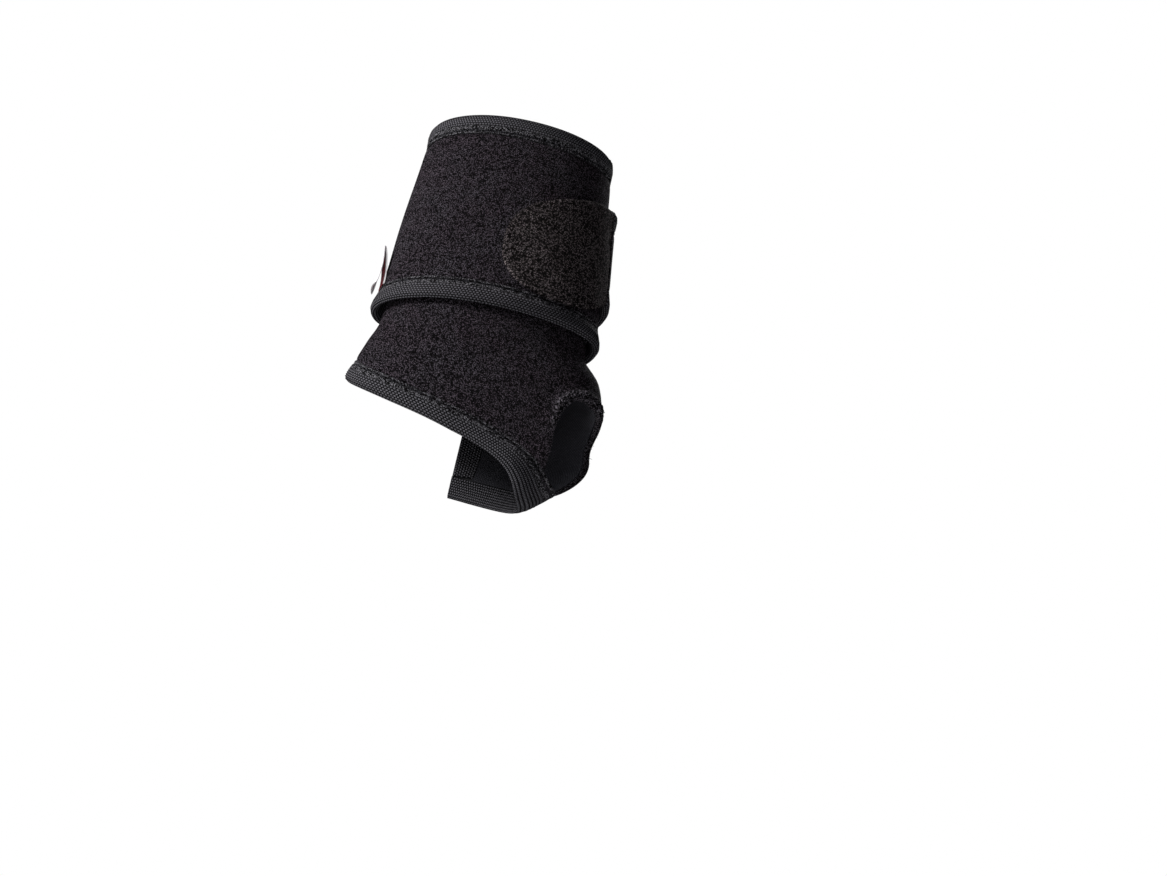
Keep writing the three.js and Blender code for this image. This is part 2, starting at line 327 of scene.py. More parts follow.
# Squared ellipse round the hole as (turn, height), its upper half sheared down to the palm.
def holeOutline(count):
    angle = np.linspace(0, 2 * np.pi, count)
    side = np.sign(np.cos(angle)) * np.abs(np.cos(angle)) ** thumbHole["squareness"]
    rise = np.sign(np.sin(angle)) * np.abs(np.sin(angle)) ** thumbHole["squareness"]
    half = thumbHole["height"] / 2
    lean = np.where(rise > 0, thumbHole["lean"] * side, 0)
    height = thumbHole["top"] - half + rise * (half - lean)
    width = (thumbHole["dorsal"] + thumbHole["palmar"]) / 2 * (1 + thumbHole["taper"] * rise)
    sideways = (thumbHole["palmar"] - thumbHole["dorsal"]) / 2 + width * side
    turn = np.zeros(count)
    for _ in range(4):  # the girth grows with the turn, so both settle together
        dorsal, palmar = (through(limb["height"], limb[face], height) for face in ("dorsal", "palmar"))
        girth = np.where(sideways < 0, dorsal, palmar) + wound(turn) + strip["thickness"] / 2
        turn = np.degrees(np.arcsin(-sideways / girth))
    return np.stack([turn, height], -1)


mmPerDegree = 0.62  # along the strip by the thumb


# How far the hole's edge is rolled out, 0 to 1: all along the upper edge, less towards the palm.
def rollShare(turn, height):
    below, above = thumbHole["rollHeights"]
    upper = smooth(thumbHole["top"] - below, thumbHole["top"] - above, height)
    dorsal = thumbHole["palmLift"] + (1 - thumbHole["palmLift"]) * smooth(*thumbHole["rollTurns"], turn)
    return upper * dorsal


# Distance in mm from places on the strip to the hole's edge.
def holeDistance(turn, height):
    outline = holeOutline(241)
    across = (turn[:, None] - outline[:, 0]) * mmPerDegree
    return np.hypot(across, height[:, None] - outline[:, 1]).min(1)


tape = {
    "flatWidth": 21.6,
    "reach": 8.7,
    "thickness": 0.5,
    "bulge": 0.4,
    "ribPitch": 0.88,
    "ribHeight": 0.15,
    "ribbedReach": 4.2,
    "ribFade": 0.6,
    "foldWaves": 6,
    "grooveReach": 7.5,
    "grooveDepth": 0.75,
    "grooveHalf": 0.35,
    "edgeDrop": 0.3,
    "edgeRounding": 0.25,
    "step": 1.5,
    "facePoints": 72,
    "foldPoints": 26,
    "skinPoints": 24,
    "startInset": 9.4,  # the first end's tape stops this far from the strip's edges
}

# plies: depths out of the skin side in mm, and how far each stops from the strip's edge
plies = {
    "pile": {"outer": strip["thickness"], "inner": 2.16, "inset": 8.85},
    "foam": {"outer": 2.12, "inner": 0.94, "inset": 1.46},
    "lining": {"outer": 0.9, "inner": 0.02, "inset": 8.85},
}
plyStep = 1.3
plyColumns = 52
edgeCrowding = 0.12
seamDip = {"depth": 0.65, "reach": 0.8}  # where the face cloth rolls into the seam


# Grid of (turn, height), crowded near both edges where the cloth rolls into the seam.
def plainGrid(turns, inset):
    low, high = stripEdges(turns)
    share = np.linspace(0, 1, plyColumns)
    crowded = share - edgeCrowding * np.sin(2 * np.pi * share)
    heights = (low + inset)[:, None] + (high - low - 2 * inset)[:, None] * crowded
    return np.stack([turns[:, None] + 0 * heights, heights], -1)


# Grid round the hole: rays from the hole's middle, from its edge out to the patch's border.
def holeGrid(inset):
    turns = np.linspace(thumbHole["patchFrom"], thumbHole["patchTo"], thumbHole["patchStations"])
    side = plainGrid(turns, inset)
    border = np.concatenate([side[:-1, 0], side[-1, :-1], side[:0:-1, -1], side[0, ::-1]])
    outline = holeOutline(fineOutline)
    middle = outline[:-1].mean(0)
    scale = np.array([mmPerDegree, 1])
    bearing = np.arctan2(*((outline - middle) * scale).T[::-1])
    order = np.argsort(bearing[:-1])
    target = np.arctan2(*((border - middle) * scale).T[::-1])
    edge = np.stack([np.interp(target, bearing[order], outline[order, i], period=2 * np.pi)
                     for i in range(2)], -1)
    share = np.linspace(0, 1, thumbHole["rings"])[:, None, None] ** thumbHole["crowding"]
    return edge + (border - edge) * share


endStep = 0.12  # mm; a short first and last step, so the shading runs on from piece to piece


def stationsBetween(start, end, step):
    first, last = lengthAt(start), lengthAt(end)
    even = np.linspace(first, last, max(3, round((last - first) / step)))
    return turnAt(np.sort(np.append(even, [first + endStep, last - endStep])))


# Lift of the cloth beside the hole: a bell curve of the distance to its edge, wavering along it.
def rimLiftAt(turn, height):
    upper = rollShare(turn, height)
    share = thumbHole["rawLift"] + (1 - thumbHole["rawLift"]) * upper
    bell = np.exp(-(holeDistance(turn, height) / thumbHole["rimReach"]) ** 2)
    waver = thumbHole["waver"] * upper * np.sin(turn * 0.9) * np.sin(turn * 0.37 + 1)
    return thumbHole["rimLift"] * share * bell * (1 + waver)


# A ply is the strip's grid at two depths. Its face sinks at the seams, and by the thumb hole
# it rolls outwards, most along the upper edge.
def plyPiece(ply, segment, material):
    facts = plies[ply]
    inset = facts["inset"]
    start, end = segment["from"], segment["to"]
    isFirst = segment["name"] == "gauntlet"
    if isFirst:
        start = turnAt(lengthAt(start) + inset)
        grids = [
            plainGrid(stationsBetween(start, thumbHole["patchFrom"], plyStep), inset),
            holeGrid(inset),
            plainGrid(stationsBetween(thumbHole["patchTo"], end, plyStep), inset),
        ]
    else:
        grids = [plainGrid(stationsBetween(start, end, plyStep), inset)]
    places, quads = joinGrids(grids)
    turn, height = places.T
    low, high = stripEdges(turn)
    outerDepth, innerDepth = facts["outer"], facts["inner"]
    if ply == "pile":
        fromSeam = np.clip(np.minimum(height - low, high - height) - inset, 0, None)
        outerDepth = outerDepth - seamDip["depth"] * np.exp(-fromSeam / seamDip["reach"])
    lift = rimLiftAt(turn, height) if isFirst else 0
    outer = onStrip(turn, height, outerDepth + lift)
    inner = onStrip(turn, height, innerDepth + lift)
    flat = np.stack([lengthAt(turn), height - low], -1)
    points = np.concatenate([outer, inner])
    flatMap = np.concatenate([flat, flat])
    name = f"{segment['name']}_{ply}_cloth"
    piece = meshPiece(name, points, closeShell(quads, len(places)), flatMap, material)
    width = (high - low).mean() - 2 * inset
    piece["flatSize"] = [width * mm, (lengthAt(end) - lengthAt(start)) * mm]
    return piece


# Section of the folded tape as (reach, depth): over the face, round the fold, back along the
# skin side. The face bulges, carries ribs near the fold and dips along the seam.
def tapeSection():
    thickness = strip["thickness"]
    fold = thickness / 2
    reach = np.linspace(tape["reach"], fold, tape["facePoints"])
    ribsTo, fade = tape["ribbedReach"], tape["ribFade"]
    ribbed = 1 - smooth(ribsTo - fade, ribsTo + fade, reach)
    ribs = tape["ribHeight"] * ribbed * np.cos(2 * np.pi * reach / tape["ribPitch"])
    dip = tape["grooveDepth"] * np.exp(-((reach - tape["grooveReach"]) / tape["grooveHalf"]) ** 2)
    edge = tape["edgeDrop"] * np.exp(-(tape["reach"] - reach) / tape["edgeRounding"])
    bulge = tape["bulge"] * np.sin(np.pi * np.clip(reach / tape["grooveReach"], 0, 1))
    face = np.stack([reach, thickness + bulge + ribs - dip - edge], -1)
    angle = np.linspace(np.pi / 2, -np.pi / 2, tape["foldPoints"])[1:-1]
    waved = fold + tape["ribHeight"] * np.cos(angle * tape["foldWaves"])
    bend = np.stack([fold - waved * np.cos(angle), fold + fold * np.sin(angle)], -1)
    skinReach = np.linspace(fold, tape["reach"], tape["skinPoints"])
    skin = np.stack([skinReach, 0 * skinReach], -1)
    outside = np.concatenate([face, bend, skin])
    along = np.gradient(outside, axis=0)
    inward = unit(np.stack([-along[:, 1], along[:, 0]], -1))
    return outside, outside - tape["thickness"] * np.sign(inward[0, 1]) * inward


# The section carried along its stations; the flat map follows it across by its own length.
def tapePiece(name, place, stations, material):
    outside, inside = tapeSection()
    across = np.concatenate([[0], np.cumsum(np.linalg.norm(np.diff(outside, axis=0), axis=1))])
    flat = np.stack(np.broadcast_arrays(stations[:, None], across), -1)
    return shellPiece(name, place(outside), place(inside), flat, material, 70)


# Tape along one edge of a segment: side 1 is the lower edge, -1 the upper one.
def edgeTape(segment, side, material):
    turns = stationsBetween(segment["from"], segment["to"], tape["step"])
    low, high = stripEdges(turns)
    edge = low if side > 0 else high

    def place(section):
        height = edge[:, None] + side * section[None, :, 0]
        return onStrip(turns[:, None], height, section[None, :, 1])

    which = "lower" if side > 0 else "upper"
    piece = tapePiece(f"{segment['name']}_{which}_tape", place, lengthAt(turns), material)
    length = lengthAt(segment["to"]) - lengthAt(segment["from"])
    piece["flatSize"] = [tape["flatWidth"] * mm, length * mm]
    return piece


# Tape across the strip's first end, between the two edge tapes.
def startTape(material):
    low, high = stripEdges(np.array([float(strip["startTurn"])]))
    heights = np.linspace(low[0] + tape["startInset"], high[0] - tape["startInset"], 60)

    def place(section):
        turns = turnAt(lengthAt(strip["startTurn"]) + section[None, :, 0])
        return onStrip(turns, heights[:, None], section[None, :, 1])

    piece = tapePiece("start_end_tape", place, heights, material)
    piece["flatSize"] = [tape["flatWidth"] * mm, (heights[-1] - heights[0]) * mm]
    return piece


stitching = {
    "length": 2.3,
    "gap": 0.8,
    "endGap": 0.5,
    "radius": 0.2,
    "bluntness": 0.02,
    "reach": tape["grooveReach"],
    "depth": 2.75,
    "dive": 0.28,  # how far its ends go into the cloth
    "rings": 6,
}
threadCorners = 6


# Each stitch is a spindle: rings whose radius falls off as a half circle, laid along the strip.
def stitchRow(segment, side, material):
    pitch = stitching["length"] + stitching["gap"]
    first, last = lengthAt(segment["from"]), lengthAt(segment["to"])
    gap = stitching["endGap"]
    starts = np.arange(first + gap, last - stitching["length"] - gap, pitch)
    share = np.linspace(0, 1, stitching["rings"])
    length = starts[:, None] + stitching["length"] * share
    turns = turnAt(length)
    low, high = stripEdges(turns)
    height = low + stitching["reach"] if side > 0 else high - stitching["reach"]
    dive = stitching["dive"] * (2 * share - 1) ** 4
    centre = onStrip(turns, height, stitching["depth"] - dive)
    outward = unit(outwardAt(turns, height))
    across = unit(np.cross(np.gradient(centre, axis=1), outward))
    roundness = 1 + stitching["bluntness"] - (2 * share - 1) ** 2
    radius = stitching["radius"] * np.sqrt(np.clip(roundness, 0, 1))
    points = centre[:, :, None] + circles(across, outward, threadCorners) * radius[:, None, None]
    which = "lower" if side > 0 else "upper"
    return spindles(f"{segment['name']}_{which}_stitches", points, material)


def circles(across, outward, corners):  # rings of corners in the plane of two directions
    angle = np.linspace(0, 2 * np.pi, corners, endpoint=False)
    return across[..., None, :] * np.cos(angle)[:, None] + outward[..., None, :] * np.sin(angle)[:, None]


# Closed spindles from an array (spindle, ring, corner, xyz): walls, and two quads over each end.
def spindles(name, points, material):
    ids = np.arange(points[..., 0].size).reshape(points.shape[:3])
    following = np.roll(ids, -1, axis=2)
    walls = np.stack([ids[:, :-1], following[:, :-1], following[:, 1:], ids[:, 1:]], -1).reshape(-1, 4)
    halves = [[0, 1, 2, 3], [0, 3, 4, 5]]
    firstEnds = [ids[:, 0][:, half[::-1]] for half in halves]
    lastEnds = [ids[:, -1][:, half] for half in halves]
    quads = np.concatenate([walls, *firstEnds, *lastEnds])
    flat = points.reshape(-1, 3)
    return meshPiece(name, flat, quads, flat[:, [0, 2]], material)


tab = {
    "length": 52,
    "width": 46,
    "drop": 11,
    "rootShare": 0.86,
    "widestAt": 0.4,
    "roundness": 2.4,
    "endSharpness": 1.6,
    "tipAt": 0.9992,  # of its length, so the free end is a short edge and not a point
    "rootGap": 0.3,
    "edgeDepth": 0.8,  # share of a layer's thickness that its edge is rounded by
    "filled": 0.9,  # share of its length times its width that its outline covers
    "stations": 46,
    "columns": 56,
}
tabLayers = {
    "hooks": {"inset": 2.5, "inner": 0.05, "outer": 1.0, "rounding": 0.6, "waves": (0, 0)},
    "felt": {"inset": 0, "inner": 1.12, "outer": 2.62, "rounding": 1.3, "waves": (0.12, 0.1)},
}


# Tab layer over the grid (along, across): the half width falls as a superellipse to the free
# end, the middle line sinks along a quarter sine, and the face is rounded down to its edge.
def tabLayer(layer, material):
    facts = tabLayers[layer]
    width, length = tab["width"] - 2 * facts["inset"], tab["length"] - facts["inset"]
    low, high = stripEdges(np.array([float(strip["endTurn"])]))
    rootMiddle = (low + high)[0] / 2
    rootRate = degreesPerMm(np.float64(strip["endTurn"]), rootMiddle)
    rate = degreesPerMm(strip["endTurn"] + tab["length"] / 2 * rootRate, rootMiddle)
    along = np.sin(np.linspace(0, 1, tab["stations"]) * np.pi / 2) * tab["tipAt"]
    across = np.sin(np.linspace(-1, 1, tab["columns"]) * np.pi / 2)
    power = tab["roundness"] * tab["endSharpness"]
    narrowing = (1 - along ** power) ** (1 / tab["roundness"])
    opening = np.sin(np.minimum(1, along / tab["widestAt"]) * np.pi / 2)
    widening = tab["rootShare"] + (1 - tab["rootShare"]) * opening
    half = (tab["width"] / 2 * widening - facts["inset"]) * narrowing
    dropped = tab["drop"] * np.sin(along * np.pi / 2)
    height = rootMiddle - dropped[:, None] + half[:, None] * across
    turn = strip["endTurn"] + (tab["rootGap"] + length * along[:, None]) * rate + 0 * height
    toSide = half[:, None] * (1 - np.abs(across))
    toEnd = length * (1 - along)[:, None]
    fromFlat = 1 - np.clip(np.minimum(toSide, toEnd) / facts["rounding"], 0, 1)
    rounded = tab["edgeDepth"] * (facts["outer"] - facts["inner"]) * (1 - np.sqrt(1 - fromFlat ** 2))
    wave = facts["waves"][0] * np.sin(height / 3.1 + turn / 5)
    wave = wave + facts["waves"][1] * np.sin(height / 5.3 - turn / 4)
    outside = onStrip(turn, height, facts["outer"] - rounded + wave)
    inside = onStrip(turn, height, facts["inner"])
    flat = np.stack([lengthAt(turn), height], -1)
    piece = shellPiece(f"tab_{layer}", outside, inside, flat, material)
    piece["flatSize"] = [width * mm, length * mm]
    piece["flatArea"] = tab["filled"] * width * length * mm * mm
    return piece


label = {
    "turn": 533,
    "width": 11,
    "height": 15,
    "thickness": 0.3,
    "clearance": 0.5,  # above the tape
    "standOff": 0.4,  # of its front leaf
    "foldGap": 0.4,
    "lean": 3.9,
    "spread": 2.3,
    "fan": 0.06,  # how much further one side stands off than the other
    "columns": 14,
    "stations": 60,
}


# Folded label over the grid (across, path): up the front leaf, over a tight fold, down the
# back leaf, which stands away from the front one at its foot.
def labelPiece(material):
    low, _ = stripEdges(np.array([float(label["turn"])]))
    foot = low[0] + tape["reach"] + label["clearance"]
    rate = degreesPerMm(np.float64(label["turn"]), foot)
    across = label["width"] * np.linspace(-0.5, 0.5, label["columns"])[:, None]
    path = np.linspace(0, 1, label["stations"])
    up = 1 - np.abs(2 * path - 1)  # 0 at both feet, 1 at the fold
    height = foot + label["height"] * (1 - (1 - up) ** 1.15)
    backLeaf = label["spread"] * smooth(0.5, 0.6, path) * (1 - up) ** 1.2
    overFold = label["foldGap"] * smooth(0.485, 0.515, path)
    depth = strip["thickness"] + label["standOff"] + label["lean"] * up ** 1.3 + overFold + backLeaf
    turn = label["turn"] + across * rate
    tilt = 1 + label["fan"] * across / label["width"]
    outside = onStrip(turn, height, depth * tilt)
    climb, outwards = unit(np.stack([np.gradient(height), np.gradient(depth)], -1)).T
    leaf = label["thickness"]
    inside = onStrip(turn, height + leaf * outwards, (depth - leaf * climb) * tilt)
    flat = np.stack(np.broadcast_arrays(across, path * 2 * label["height"]), -1)
    piece = shellPiece("folded_label", outside, inside, flat, material)
    piece["flatSize"] = [label["width"] * mm, 2 * label["height"] * mm]
    return piece


roll = {
    "radius": 2.2,
    "rawShare": 0.34,  # of the radius at the raw sides
    "lift": 2.1,
    "gather": 0.15,
    "gatherPitch": 1.9,
    "bunching": 0.4,  # how much the gathers come and go
    "stations": 361,
    "corners": 24,
}


# Edge of the thumb hole turned outwards: a ring of the cloth carried round the hole's outline,
# thick along the upper edge and thin at the raw sides, gathered by a sine along it.
def rolledRim(material):
    turn, height = holeOutline(roll["stations"])[:-1].T
    upper = rollShare(turn, height)
    share = roll["rawShare"] + (1 - roll["rawShare"]) * upper
    centre = onStrip(turn, height, strip["thickness"] / 2 + roll["lift"] * upper)
    along = np.roll(centre, -1, axis=0) - np.roll(centre, 1, axis=0)
    length = np.cumsum(np.linalg.norm(along, axis=1)) / 2
    across = unit(np.cross(along, outwardAt(turn, height)))
    outward = unit(np.cross(across, along))
    bunching = 1 - roll["bunching"] + roll["bunching"] * np.sin(length / 2.3 + 1)
    gathers = bunching * np.sin(2 * np.pi * length / roll["gatherPitch"] + 3 * np.sin(length / 3.7))
    radius = share * roll["radius"] * (1 + roll["gather"] * upper * gathers)
    points = centre[:, None] + circles(across, outward, roll["corners"]) * radius[:, None, None]
    ids = np.arange(len(points) * roll["corners"]).reshape(-1, roll["corners"])
    ahead, beside = np.roll(ids, -1, axis=0), np.roll(ids, -1, axis=1)
    quads = np.stack([ids, ahead, np.roll(ahead, -1, axis=1), beside], -1).reshape(-1, 4)
    around = np.linspace(0, 2 * np.pi * roll["radius"], roll["corners"], endpoint=False)
    flat = np.stack(np.broadcast_arrays(length[:, None], around), -1).reshape(-1, 2)
    return meshPiece("thumb_hole_rolled_rim", points.reshape(-1, 3), quads, flat, material)


fuzz = {
    "loops": 900,
    "length": 1.1,
    "shortest": 0.4,  # of that length
    "radius": 0.09,
    "thinning": 0.75,
    "depth": 1.4,
    "layer": 1.2,  # thickness of cloth that the pile starts from
    "rollShare": 0.6,
    "lean": 0.45,
    "droop": 0.35,
    "rings": 5,
    "seed": 7,
}


# Cut pile at the thumb hole: curved spindles that start in the edge and lean out of it.
def rimFuzz(material):
    random = np.random.default_rng(fuzz["seed"])
    many = fuzz["loops"]
    outline = holeOutline(fineOutline)
    pick = random.uniform(0, fineOutline - 1, many)
    turn, height = (np.interp(pick, np.arange(fineOutline), outline[:, i]) for i in range(2))
    lift = (roll["lift"] + fuzz["rollShare"] * roll["radius"]) * rollShare(turn, height)
    depth = fuzz["depth"] + lift + random.uniform(0, fuzz["layer"], many)
    root = onStrip(turn, height, depth)
    middle = outline.mean(0)
    nearer = onStrip(turn + (middle[0] - turn) * 0.2, height + (middle[1] - height) * 0.2, depth)
    inwards = unit(nearer - root)
    outward = onStrip(turn, height, depth + 1) - root
    sideways = np.cross(inwards, outward)
    lean = random.normal(0, fuzz["lean"], (2, many))
    reach = inwards + outward * lean[0][:, None] + sideways * lean[1][:, None]
    share = np.linspace(0, 1, fuzz["rings"])[:, None]
    length = fuzz["length"] * random.uniform(fuzz["shortest"], 1, many)
    droop = sideways * random.normal(0, fuzz["droop"], many)[:, None]
    bent = reach[:, None] * share + droop[:, None] * share ** 2
    centre = root[:, None] + length[:, None, None] * bent
    radius = fuzz["radius"] * (1 - fuzz["thinning"] * share ** 2)
    ring = circles(outward, sideways, threadCorners)
    points = centre[:, :, None] + ring[:, None] * radius[:, :, None]
    return spindles("thumb_hole_fuzz", points, material)


def addNode(tree, kind, inputs=None, **settings):
    made = tree.nodes.new("ShaderNode" + kind)
    for key, value in settings.items():
        setattr(made, key, value)
    for key, value in (inputs or {}).items():
        if isinstance(value, bpy.types.NodeSocket):
            tree.links.new(value, made.inputs[key])
        else:
            made.inputs[key].default_value = value
    return made


def maths(tree, operation, first, second=0.0, third=0.0):
    return addNode(tree, "Math", {0: first, 1: second, 2: third}, operation=operation).outputs[0]


def ramp(tree, value, low, high, start=0.0, end=1.0):  # straight map, clamped
    inputs = {0: value, 1: low, 2: high, 3: start, 4: end}
    return addNode(tree, "MapRange", inputs).outputs[0]


def scaled(tree, vector, factor):
    return addNode(tree, "VectorMath", {0: vector, 3: factor}, operation="SCALE").outputs[0]


def mixColours(tree, share, first, second):
    made = addNode(tree, "Mix", {0: share, 6: first, 7: second}, data_type="RGBA")
    return made.outputs[2]


def newGroup(name, inputs, outputs):
    group = bpy.data.node_groups.new(name, "ShaderNodeTree")
    for key, kind, value in inputs:
        socket = group.interface.new_socket(key, in_out="INPUT", socket_type="NodeSocket" + kind)
        if kind == "Float":
            socket.default_value = value
    for key, kind in outputs:
        group.interface.new_socket(key, in_out="OUTPUT", socket_type="NodeSocket" + kind)
    return group, group.nodes.new("NodeGroupInput"), group.nodes.new("NodeGroupOutput")


def setOutputs(group, target, values):
    for key, value in values.items():
        group.links.new(value, target.inputs[key])


# Brushed loops: cells one loop wide, bent by noise, with finer fibres and broad patches of
# lighter and darker nap. Distances are in metres.
def loopsGroup():
    group, given, target = newGroup(
        "brushedLoops",
        [("Vector", "Vector", None), ("Loop Size", "Float", 0.001), ("Patch Size", "Float", 0.02)],
        [("Height", "Float"), ("Tips", "Float"), ("Patches", "Float")])
    place = scaled(group, given.outputs["Vector"], maths(group, "DIVIDE", 1.0, given.outputs["Loop Size"]))
    bend = addNode(group, "TexNoise", {"Vector": place, "Scale": 0.7, "Detail": 1.0})
    grey = (0.5, 0.5, 0.5)
    centred = addNode(group, "VectorMath", {0: bend.outputs["Color"], 1: grey}, operation="SUBTRACT")
    shift = scaled(group, centred.outputs[0], 0.7)  # loops
    bent = addNode(group, "VectorMath", {0: place, 1: shift}, operation="ADD").outputs[0]
    cells = addNode(group, "TexVoronoi", {"Vector": bent, "Scale": 1.0, "Randomness": 1.0}, feature="F1")
    loops = ramp(group, cells.outputs["Distance"], 0.05, 0.85, 1.0, 0.0)
    fibres = addNode(group, "TexNoise", {"Vector": bent, "Scale": 2.3, "Detail": 2.0, "Roughness": 0.6})
    fibreShare = ramp(group, fibres.outputs[0], 0.3, 0.7)
    mixed = maths(group, "MULTIPLY_ADD", loops, 0.55, maths(group, "MULTIPLY", fibreShare, 0.45))
    broad = scaled(group, given.outputs["Vector"], maths(group, "DIVIDE", 1.0, given.outputs["Patch Size"]))
    patches = addNode(group, "TexNoise", {"Vector": broad, "Scale": 1.0, "Detail": 4.0, "Roughness": 0.6})
    setOutputs(group, target, {
        "Height": mixed,
        "Tips": ramp(group, mixed, 0.47, 0.86),
        "Patches": ramp(group, patches.outputs[0], 0.32, 0.68),
    })
    return group


# Knit: rows of short stitches on the strip's flat map, every other row moved half a stitch.
# Height is the product of two half sines to the power 0.6.
def knitGroup():
    group, given, target = newGroup(
        "knitRows",
        [("Vector", "Vector", None), ("Row Pitch", "Float", 0.0007), ("Stitch Pitch", "Float", 0.0009)],
        [("Height", "Float"), ("Holes", "Float")])
    parts = addNode(group, "SeparateXYZ", {0: given.outputs["Vector"]})
    rows = maths(group, "DIVIDE", parts.outputs[1], given.outputs["Row Pitch"])
    shifted = maths(group, "MULTIPLY", maths(group, "FLOOR", rows), 0.5)
    stitches = maths(group, "DIVIDE", parts.outputs[0], given.outputs["Stitch Pitch"])
    along = maths(group, "ADD", stitches, shifted)
    waves = [maths(group, "ABSOLUTE", maths(group, "SINE", maths(group, "MULTIPLY", value, math.pi)))
             for value in (along, rows)]
    height = maths(group, "POWER", maths(group, "MULTIPLY", waves[0], waves[1]), 0.6)
    setOutputs(group, target, {"Height": height, "Holes": ramp(group, height, 0.35, 0.9, 1.0, 0.0)})
    return group


# Lint and dust: sparse soft specks that settle in every cloth.
def lintGroup():
    group, given, target = newGroup(
        "lint", [("Vector", "Vector", None), ("Speck Size", "Float", 0.002), ("Amount", "Float", 0.1)],
        [("Specks", "Float")])
    place = scaled(group, given.outputs["Vector"], maths(group, "DIVIDE", 1.0, given.outputs["Speck Size"]))
    bend = addNode(group, "TexNoise", {"Vector": place, "Scale": 1.5, "Detail": 2.0})
    cells = addNode(group, "TexVoronoi", {"Vector": bend.outputs["Color"], "Scale": 6.0}, feature="F1")
    specks = ramp(group, cells.outputs["Distance"], 0.02, 0.16, 1.0, 0.0)
    where = addNode(group, "TexNoise", {"Vector": place, "Scale": 0.35, "Detail": 2.0})
    sparse = ramp(group, where.outputs[0], 0.6, 0.72)
    settled = maths(group, "MULTIPLY", specks, sparse)
    setOutputs(group, target, {"Specks": maths(group, "MULTIPLY", settled, given.outputs["Amount"])})
    return group


loops, knit, lint = loopsGroup(), knitGroup(), lintGroup()


def startMaterial(name, sheen=0.0, sheenTint=(1, 1, 1, 1)):
    material = bpy.data.materials.new(name)
    material.use_nodes = True
    tree = material.node_tree
    shader = next(n for n in tree.nodes if n.type == "BSDF_PRINCIPLED")
    shader.inputs["Sheen Weight"].default_value = sheen
    shader.inputs["Sheen Roughness"].default_value = 0.45
    shader.inputs["Sheen Tint"].default_value = sheenTint
    shader.inputs["Specular IOR Level"].default_value = 0.03  # dry cloth
    return material, tree, shader


def flatMapOf(tree):
    return addNode(tree, "UVMap", uv_map="stripMap").outputs[0]


def placed(tree, group, **inputs):
    made = addNode(tree, "Group", node_tree=group)
    for key, value in inputs.items():
        socket = made.inputs[key.replace("_", " ")]
        if isinstance(value, bpy.types.NodeSocket):
            tree.links.new(value, socket)
        else:
            socket.default_value = value
    return made


def bumpInto(tree, shader, height, distance):
    made = addNode(tree, "Bump", {"Height": height, "Distance": distance, "Strength": 1.0})
    tree.links.new(made.outputs[0], shader.inputs["Normal"])


def dusted(tree, place, colour, dust):  # colour under a scatter of lint
    specks = placed(tree, lint, Vector=place, Speck_Size=dust["size"], Amount=dust["amount"])
    return mixColours(tree, specks.outputs["Specks"], colour, dust["colour"])


# brushed cloths: loop and patch sizes in metres; colours of the painted shade deep between the loops, and
# of the loop tips, raised by a painted highlight
clothLooks = {
    "pile": {
        "loopSize": 0.00047,
        "patchSize": 0.016,
        "paintedShadeDeep": (0.0014, 0.0012, 0.0016, 1),
        "tipsAndHighlight": (0.205, 0.186, 0.222, 1),
        "patch": (0.178, 0.140, 0.176, 1),
        "relief": 0.0012,
        "lint": 0.5,
    },
    "felt": {
        "loopSize": 0.0006,
        "patchSize": 0.012,
        "paintedShadeDeep": (0.0017, 0.0014, 0.0014, 1),
        # tip colours: the felt's own warmer grey, raised as painted light where the key light falls off on
        # the tab
        "tipsAndHighlight": (0.290, 0.252, 0.262, 1),
        "patch": (0.225, 0.192, 0.200, 1),
        "relief": 0.0011,
        "lint": 0.35,
    },
    # the turned-out rim: a lighter copy of the pile cloth, its tips and patches painted light for the lit
    # roll
    "rim": {
        "loopSize": 0.0006,
        "patchSize": 0.006,
        "paintedShadeDeep": (0.0016, 0.0014, 0.0018, 1),
        "tipsAndHighlight": (0.36, 0.335, 0.385, 1),
        "patch": (0.24, 0.215, 0.25, 1),
        "relief": 0.0014,
        "lint": 0.5,
    },
}


# Brushed cloth: colour runs from painted shade deep between the loops to the tips, brightened by a painted
# highlight and tinted in patches.
def brushedCloth(name, look):
    material, tree, shader = startMaterial(name)
    place = flatMapOf(tree)
    nap = placed(tree, loops, Vector=place, Loop_Size=look["loopSize"], Patch_Size=look["patchSize"])
    tipsAndHighlight = mixColours(tree, nap.outputs["Patches"], look["tipsAndHighlight"], look["patch"])
    # painted shade between the loops, painted highlight on the loop tips
    colour = mixColours(tree, nap.outputs["Tips"], look["paintedShadeDeep"], tipsAndHighlight)
    dust = {"size": 0.0035, "amount": look["lint"], "colour": (0.2, 0.19, 0.2, 1)}
    tree.links.new(dusted(tree, place, colour, dust), shader.inputs["Base Color"])
    tree.links.new(ramp(tree, nap.outputs["Tips"], 0, 1, 0.9, 1.0), shader.inputs["Roughness"])
    bumpInto(tree, shader, nap.outputs["Height"], look["relief"])
    return material


tapeLook = {
    "row": 0.00104,
    "stitch": 0.00112,
    "loop": 0.00048,
    "patch": 0.02,
    "ribsFrom": 0.0042,  # distances across the tape from its edge on the cloth's face
    "ribsFade": 0.0005,
    "grooveAt": 0.00135,
    "grooveHalf": 0.00042,
    "thread": (0.088, 0.086, 0.097, 1),
    # nap: the brushed loop tips, the nap's own colour raised by a painted highlight
    "nap": (0.27, 0.264, 0.292, 1),
    # hole: painted shade, in the knit holes, between the nap's loops and along the seam's groove
    "hole": (0.0010, 0.0010, 0.0012, 1),
    "dust": {"size": 0.003, "amount": 0.35, "colour": (0.2, 0.2, 0.21, 1)},
    "relief": 0.0009,
}
